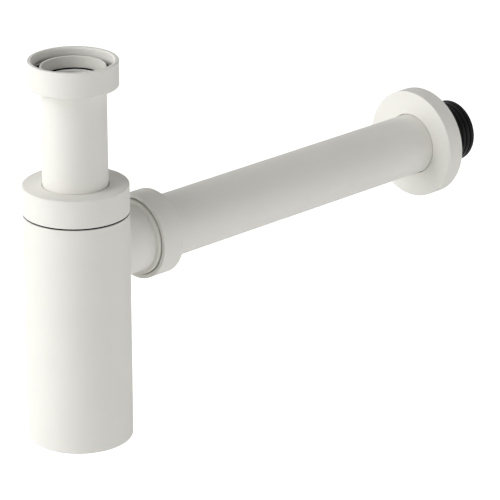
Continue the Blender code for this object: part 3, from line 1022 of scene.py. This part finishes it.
@dataclass
class OutletUnion(SubAssembly):
    """Spigot brazed to the bottle, and the nut over its head.

    Attributes:
        stub: outer radius of the stub.
        wall: wall of the stub.
        plain: length of the stub's last straight part.
        foot_radius: radius of the stub's foot in the bottle's hole.
        foot_gap: distance of the foot from the bottle's bore.
        braze: reach of the fillet where the stub meets the bottle.
        braze_steps: steps along the fillet.
        sunk: how far the fillet's edge lies in the bottle's wall.
        root_in: place of the fillet's inner end from its edge.
        face: place of the head's face towards the bottle.
        rim: length of the head's plain rim.
        groove: width of the groove between the rim and the head's thread.
        socket: radius of the pipe's socket.
        socket_floor: place of the socket's floor.
        seat: width of the seal's conical seat.
        seat_depth: its depth.
        bottle: outer radius of the bottle.
        nut_bore: radius of the nut's bore, at its thread's crests.
        nut_root: radius of the roots of the nut's thread.
        nut_end: thickness of the nut's end wall.
        nut_run: distance of the nut's thread from its end wall.
        mouth: width of the relief in the nut's mouth.
        mouth_deep: its depth.
        mouth_gap: distance of the nut's thread from it.
        root: radius of the roots of the head's thread.
    """

    stub: float = 17.1
    wall: float = 3.2
    plain: float = 4.0
    foot_radius: float = 14.95
    foot_gap: float = 0.4
    braze: float = 1.1
    braze_steps: int = 8
    sunk: float = 0.04
    root_in: Point = (-0.5, -0.6)
    face: float = 36.45
    rim: float = 1.8
    groove: float = 1.2
    socket: float = 16.3
    socket_floor: float = 39.9
    seat: float = 1.85
    seat_depth: float = 2.9
    bottle: float = 26.13
    nut_bore: float = 19.46
    nut_root: float = 20.2
    nut_end: float = 2.6
    nut_run: float = 0.6
    mouth: float = 0.12
    mouth_deep: float = 0.7
    mouth_gap: float = 0.4
    root: float = 18.45

    def build(self) -> None:
        """Make and dress the spigot and its nut."""
        dress(self.spigot(), COAT, "bottle", "outlet_spigot")
        dress(self.nut(), COAT, "outlet_union", "outlet_nut")

    def spigot(self) -> Piece:
        """Turn the spigot, its inner end shaped to the bottle."""
        size = OUTLET.envelope("outlet_spigot")
        bore = self.stub - self.wall
        rim = self.face + self.rim
        head = section(
            (self.stub, self.face - self.plain),
            (self.stub, self.face, BROKEN),
            (size.radius, self.face, SOFT),
            (size.radius, rim, CRISP),
            (self.root, rim, EASED),
            (self.root, rim + self.groove),
            (size.radius, size.high),
            (self.socket + self.seat, size.high, KEEN),
            (self.socket, size.high - self.seat_depth),
            (self.socket, self.socket_floor),
            (bore, self.socket_floor, EASED),
            (bore, self.face - self.plain),
        )
        split = head.index((size.radius, size.high))
        start = rim + self.groove + THREAD_GAP
        thread = Thread(size.radius, self.root, FINE_PITCH, start, size.high - KEEN / 2)
        threaded = thread.cut_into(head, split, split)

        def shape(angle: float) -> Section:
            """Give the spigot's section at one angle, its foot on the bottle."""
            foot = self.foot(angle, bore)
            return foot[1:] + threaded(angle) + foot[:1]

        return OUTLET.turn("outlet_spigot_brazed", shape)

    def foot(self, angle: float, bore: float) -> Section:
        """Shape the foot of the spigot at one angle.

        Args:
            angle: angle about the outlet's axis.
            bore: inner radius of the stub.

        Returns:
            Its inner end, then the brazed fillet from the bottle to the stub.
        """
        across = math.sin(angle)

        def wall_at(radius: float, cylinder: float) -> float:
            """Place where a line at this radius and angle meets a cylinder about the inlet axis."""
            return math.sqrt(cylinder**2 - (radius * across) ** 2)

        edge = self.stub + self.braze
        start = Vector((edge, wall_at(edge, self.bottle) - self.sunk))
        corner = Vector((self.stub, wall_at(self.stub, self.bottle)))
        finish = Vector((self.stub, corner.y + self.braze))
        points = [
            (bore, wall_at(bore, BOTTLE_BORE)),
            (self.foot_radius, wall_at(self.foot_radius, BOTTLE_BORE) + self.foot_gap),
            tuple(start + Vector(self.root_in)),
        ]
        for step in range(self.braze_steps + 1):
            share = step / self.braze_steps
            place = start.lerp(corner, share).lerp(corner.lerp(finish, share), share)
            points.append(tuple(place))
        return points

    def nut(self) -> Piece:
        """Turn the outlet nut with its inside thread."""
        size = OUTLET.envelope("outlet_nut")
        end_wall = size.high - self.nut_end
        mouth = self.nut_bore + self.mouth
        mouth_end = size.low + self.mouth_deep
        outline = section(
            (mouth + BROKEN, size.low, KEEN),
            (mouth, size.low + BROKEN),
            (mouth, mouth_end - self.mouth),
            (self.nut_bore, mouth_end),
            (self.nut_bore, end_wall),
            (self.socket, end_wall, TRIM),
            (self.socket, size.high, TRIM),
            (size.radius, size.high, ROUND),
            (size.radius, size.low, BLUNT),
        )
        split = outline.index((self.nut_bore, mouth_end)) + 1
        rest = outline.index((self.nut_bore, end_wall))
        start = mouth_end + self.mouth_gap
        end = end_wall - self.nut_run
        thread = Thread(self.nut_bore, self.nut_root, FINE_PITCH, start, end)
        return OUTLET.turn("outlet_nut_threaded", thread.cut_into(outline, split, rest))


@dataclass
class WallPipe(SubAssembly):
    """Level pipe to the wall, and the ribbed rubber sleeve on its end.

    Attributes:
        wall: wall of the pipe.
        ribs: number of ribs on the sleeve.
        rib_wall: wall of the sleeve over a rib.
        groove_wall: wall of the sleeve in a groove.
        groove_share: half width of a groove as a share of the ribs' pitch.
        crown: rounding of the ribs' crests.
        neck: how far the pipe's end is drawn in under the sleeve.
    """

    wall: float = 1.0
    ribs: int = 7
    rib_wall: float = 1.0
    groove_wall: float = 0.2
    groove_share: float = 0.17
    crown: float = 0.9
    neck: float = 0.7

    def build(self) -> None:
        """Make and dress the pipe and its sleeve."""
        size = OUTLET.envelope("wall_pipe")
        seal = OUTLET.envelope("wall_seal")
        neck = size.radius - self.neck
        neck_start = seal.low - CLEAR
        taper = neck_start - self.neck
        pipe = section(
            (neck, size.high, BROKEN),
            (neck, neck_start, ROUND),
            (size.radius, taper, ROUND),
            (size.radius, size.low, BROKEN),
            (size.radius - self.wall, size.low, BROKEN),
            (size.radius - self.wall, taper, ROUND),
            (neck - self.wall, neck_start, ROUND),
            (neck - self.wall, size.high, BROKEN),
        )
        dress(OUTLET.turn("wall_pipe_drawn", pipe), COAT, "pipe", "wall_pipe")
        dress(self.sleeve(size), RUBBER, "pipe", "wall_seal")

    def sleeve(self, pipe: Envelope) -> Piece:
        """Turn the ribbed sleeve on the pipe's end.

        Args:
            pipe: extent of the wall pipe.

        Returns:
            The sleeve.
        """
        size = OUTLET.envelope("wall_seal")
        inner = pipe.radius - self.neck + CLEAR
        lip = pipe.radius - self.neck - self.wall
        crest = inner + self.rib_wall
        groove = inner + self.groove_wall
        pitch = (size.high - size.low) / self.ribs
        shoulder = pitch * self.groove_share
        corners: list[Corner] = [(crest - BROKEN, size.high, BROKEN)]
        for rib in range(self.ribs):
            top = size.high - rib * pitch
            corners += [
                (crest, top - shoulder, self.crown),
                (crest, top - pitch + shoulder, self.crown),
                (groove, top - pitch, KEEN),
            ]
        corners += [
            (inner, size.low, KEEN),
            (inner, pipe.high + CLEAR),
            (lip, pipe.high + CLEAR, TRIM),
            (lip, size.high, BROKEN),
        ]
        return OUTLET.turn("wall_seal_ribbed", section(*corners))


@dataclass
class Rosette(SubAssembly):
    """Flat wall cover and the ring that grips the pipe.

    Attributes:
        wall: thickness of the plate and the rim.
        hub_bore: inner radius of the hub.
        hub: its outer radius.
        hub_length: length of the hub behind the plate.
    """

    wall: float = 1.8
    hub_bore: float = 18.3
    hub: float = 20.3
    hub_length: float = 4.2

    def build(self) -> None:
        """Make and dress the cover and its ring."""
        size = OUTLET.envelope("rosette")
        plate = size.low + self.wall
        hole = TUBE + CLEAR
        hub_end = plate + self.hub_length
        cover = section(
            (size.radius, size.high, EASED),
            (size.radius, size.low, FULL),
            (hole, size.low, TRIM),
            (hole, plate, TRIM),
            (self.hub_bore, plate),
            (self.hub_bore, hub_end, EASED),
            (self.hub, hub_end, EASED),
            (self.hub, plate, FULL),
            (size.radius - self.wall, plate, HOLLOW),
            (size.radius - self.wall, size.high, EASED),
        )
        dress(OUTLET.turn("rosette_spun", cover), COAT, "wall_cover", "rosette")
        size = OUTLET.envelope("rosette_grip_ring")
        ring = ring_section(hole, size.radius, size.low, size.high, FULL)
        grip = OUTLET.turn("rosette_grip_ring_moulded", ring)
        dress(grip, RUBBER, "rosette_grip", "rosette_grip_ring")


class HiddenRings(SubAssembly):
    """Rings and seals that stay as packed, because the nuts cover them."""

    def build(self) -> None:
        """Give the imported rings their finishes."""
        nylon = ("inlet_slip_ring", "collar_slip_ring", "outlet_slip_ring")
        rubber = ("collar_seal", "outlet_seal")
        for finish, names in ((NYLON, nylon), (RUBBER, rubber)):
            for name in names:
                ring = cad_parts[name]
                ring.data.materials.clear()
                ring.data.materials.append(finish.material())
                LOG.info("%s keeps its packed shape", name)


@dataclass(frozen=True)
class Lamp:
    """A soft box.

    Attributes:
        name: what it does.
        elevation: its height above the trap's level, in degrees.
        power: its power in watts.
        width: side of its face in metres.
        distance: its distance in metres.
    """

    name: str
    azimuth: float
    elevation: float
    power: float
    width: float = 1.0
    distance: float = 1.7

    def place(self, target: Vector) -> None:
        """Stand the lamp round a target.

        Args:
            target: point that it faces.
        """
        light = bpy.data.lights.new(self.name, "AREA")
        light.shape = "SQUARE"
        light.size = self.width
        light.energy = self.power
        lamp = stand(self.name, light)
        turn = math.radians(self.azimuth)
        rise = math.radians(self.elevation)
        level = math.cos(rise)
        back = Vector((math.sin(turn) * level, -math.cos(turn) * level, math.sin(rise)))
        lamp.location = target + back * self.distance
        lamp.rotation_euler = back.to_track_quat("Z", "Y").to_euler()


@dataclass
class Studio(SubAssembly):
    """Camera, floor, surroundings and lamps.

    Attributes:
        lens_place: place of the camera in metres.
        turn: its yaw, pitch and roll in degrees.
        lens: its focal length for a 36 mm sensor.
        floor: height of the floor in metres.
        paper: reflectance of the floor's paper.
        surround: brightness of the surroundings as the trap sees them.
        lamps: the soft boxes.
    """

    lens_place: Triple = (-0.92974, -1.07694, 0.45183)
    turn: Triple = (-44.19466, -21.13389, -0.05616)
    lens: float = 225.502
    floor: float = -0.60
    paper: float = 0.85
    surround: float = 0.127
    lamps: tuple[Lamp, ...] = (
        Lamp("key_upper", -110, 45, 10.0),
        Lamp("key_middle", -110, 22, 4.2),
        Lamp("key_side", -110, 2, 6.7),
        Lamp("key_left", -140, 2, 6.1),
        Lamp("key_low", -125, -8, 1.5),
        Lamp("back_upper", 160, 45, 6.1),
        Lamp("front_fill", -80, 22, 2.2),
        Lamp("front_side", -20, 2, 6.7),
        Lamp("right_upper", 10, 22, 1.7),
        Lamp("right_fill", 40, 2, 1.9),
        Lamp("right_low", 40, -8, 6.0, 1.2),
    )

    def build(self) -> None:
        """Set up the studio."""
        self.camera()
        self.ground()
        self.surroundings()
        low, high = (Vector(corner) for corner in CAD_BOX)
        for lamp in self.lamps:
            lamp.place((low + high) / 2)
        bpy.context.scene.view_settings.view_transform = "Standard"

    def camera(self) -> None:
        """Stand the camera where the photograph was taken from."""
        data = bpy.data.cameras.new("camera")
        data.lens = self.lens
        camera = stand(data.name, data)
        yaw, pitch, roll = (math.radians(part) for part in self.turn)
        turn = (
            Matrix.Rotation(yaw, 4, "Z")
            @ Matrix.Rotation(math.tau / 4 + pitch, 4, "X")
            @ Matrix.Rotation(roll, 4, "Z")
        )
        camera.matrix_world = Matrix.Translation(self.lens_place) @ turn
        bpy.context.scene.camera = camera

    def ground(self) -> None:
        """Lay the pale floor well below the hanging trap."""
        reach = 6.0
        mesh = bpy.data.meshes.new("floor")
        corners = [(-reach, -reach), (reach, -reach), (reach, reach), (-reach, reach)]
        mesh.from_pydata([(x, y, self.floor) for x, y in corners], [], [(0, 1, 2, 3)])
        floor = stand(mesh.name, mesh)
        mesh.materials.append(self.white_paper())

    def white_paper(self) -> bpy.types.Material:
        """Make the floor's paper: diffuse for the trap, lifted to white for the camera."""
        material = bpy.data.materials.new("white_paper")
        material.use_nodes = True
        tree = material.node_tree
        shader = tree.nodes["Principled BSDF"]
        set_sockets(
            shader,
            Base_Color=(self.paper, self.paper, self.paper, 1.0),
            Roughness=0.9,
            Specular_IOR_Level=0.0,
            Emission_Color=WHITE,
        )
        tree.links.new(seen_directly(tree), shader.inputs["Emission Strength"])
        return material

    def surroundings(self) -> None:
        """Make the surroundings white to the camera and plain grey light to the trap."""
        world = bpy.data.worlds.new("surroundings")
        bpy.context.scene.world = world
        world.use_nodes = True
        tree = world.node_tree
        background = tree.nodes["Background"]
        set_sockets(background, Color=WHITE)
        level = tree.nodes.new("ShaderNodeMapRange")
        set_sockets(level, To_Min=self.surround, To_Max=1.0)
        tree.links.new(seen_directly(tree), level.inputs["Value"])
        tree.links.new(level.outputs["Result"], background.inputs["Strength"])


def seen_directly(tree: bpy.types.NodeTree) -> Socket:
    """Tell the camera's, mirrored and transmitted rays from the light that falls on the trap.

    Args:
        tree: the node tree to add to.

    Returns:
        A socket that is 1 for the rays that show the surroundings and 0 for the rest.
    """
    path = tree.nodes.new("ShaderNodeLightPath")
    total = path.outputs["Is Camera Ray"]
    for name in ("Is Glossy Ray", "Is Transmission Ray"):
        node = tree.nodes.new("ShaderNodeMath")
        node.operation = "MAXIMUM"
        tree.links.new(total, node.inputs[0])
        tree.links.new(path.outputs[name], node.inputs[1])
        total = node.outputs[0]
    return total


def main() -> None:
    """Build the sub-assemblies in order."""
    logging.basicConfig(level=logging.INFO, format="%(message)s")
    sub_assemblies: tuple[SubAssembly, ...] = (
        Studio(),
        InletUnion(),
        InletTubes(),
        Collar(),
        Bottle(),
        BasePlug(),
        OutletUnion(),
        WallPipe(),
        Rosette(),
        HiddenRings(),
    )
    for sub_assembly in sub_assemblies:
        LOG.info("making %s", type(sub_assembly).__name__)
        sub_assembly.build()
    bpy.context.view_layer.update()


if __name__ == "__main__":
    main()
